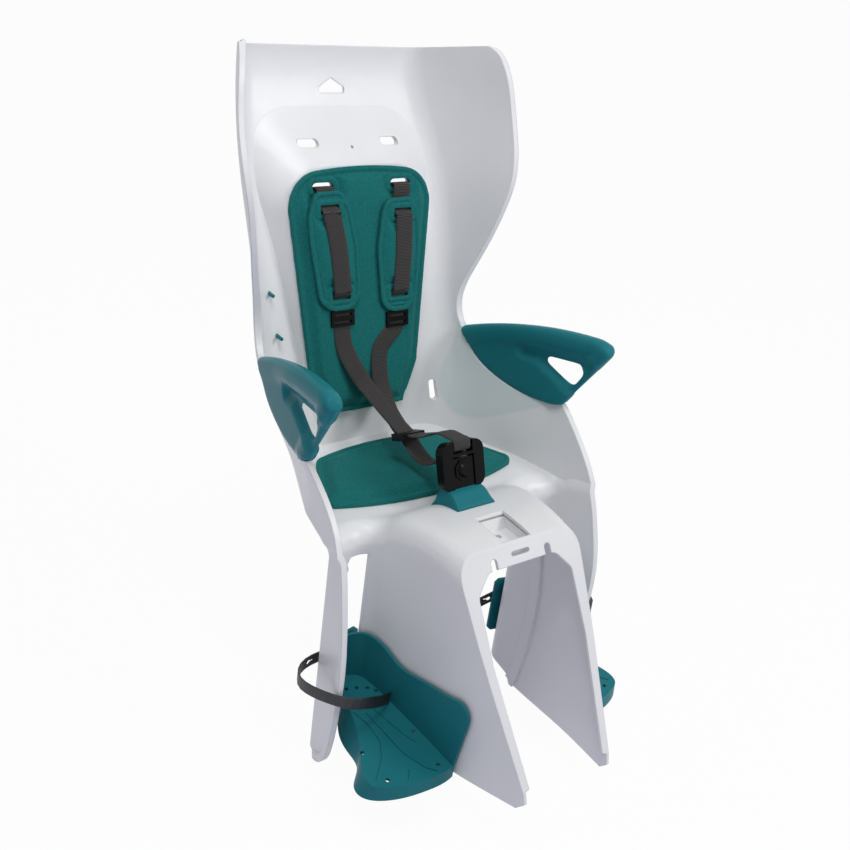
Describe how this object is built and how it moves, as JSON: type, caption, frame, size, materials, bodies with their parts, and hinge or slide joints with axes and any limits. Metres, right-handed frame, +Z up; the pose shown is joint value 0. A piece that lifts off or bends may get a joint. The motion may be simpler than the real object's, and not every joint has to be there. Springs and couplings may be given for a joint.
{
  "type": "child bike seat",
  "caption": "Rear child bike seat: one-piece bucket shell with leg channels, padded back and seat, shoulder harness with buckle, armrests and sliding footrests.",
  "frame": {"origin": "centre of the carrier bolt hole, on the underside of the pocket in the pommel", "axes": "+Z up along the carrier bolt, -Y towards the front of the seat, +X to the child's left"},
  "size_m": [0.4344, 0.633, 0.7953],
  "materials": {
    "white_shell": "satin",
    "teal_fabric": "matte",
    "teal_plastic": "gloss",
    "webbing": "matte",
    "black_plastic": "satin",
    "dark_rubber": "matte"
  },
  "bodies": {
    "seat": {"seat_shell": "white_shell", "back_pad": "teal_fabric", "seat_pad": "teal_fabric", "shoulder_pad_left": "teal_fabric", "shoulder_pad_right": "teal_fabric", "shoulder_strap_left": "webbing", "shoulder_strap_right": "webbing", "buckle_strap": "webbing", "strap_adjuster_left": "black_plastic", "strap_adjuster_right": "black_plastic", "strap_adjuster_middle": "black_plastic", "buckle_post": "black_plastic", "buckle_cap": "teal_plastic", "armrest_left": "teal_plastic", "armrest_right": "teal_plastic", "back_pegs": "teal_plastic"},
    "footrest_left": {"footrest_left": "teal_plastic", "footrest_lock_left": "teal_plastic", "foot_strap_left": "dark_rubber"},
    "footrest_right": {"footrest_right": "teal_plastic", "footrest_lock_right": "teal_plastic", "foot_strap_right": "dark_rubber"},
    "buckle": {"buckle_frame": "black_plastic"},
    "button": {"buckle_button": "black_plastic"}
  },
  "joints": [
    {"name": "footrest_left_slide", "type": "slide", "parent": "seat", "child": "footrest_left", "axis": [0, 0, 1], "range_m": [-0.03, 0.09]},
    {"name": "footrest_right_slide", "type": "slide", "parent": "seat", "child": "footrest_right", "axis": [0, 0, 1], "range_m": [-0.03, 0.09]},
    {"name": "buckle_release", "type": "slide", "parent": "seat", "child": "buckle", "axis": [0, 0.342, 0.9397], "range_m": [0, 0.045], "deforming": ["buckle_strap"]},
    {"name": "button_press", "type": "slide", "parent": "seat", "child": "button", "axis": [0, 0.9397, -0.342], "range_m": [0, 0.003], "stiffness_N_per_m": 800, "springref_m": -0.001}
  ]
}
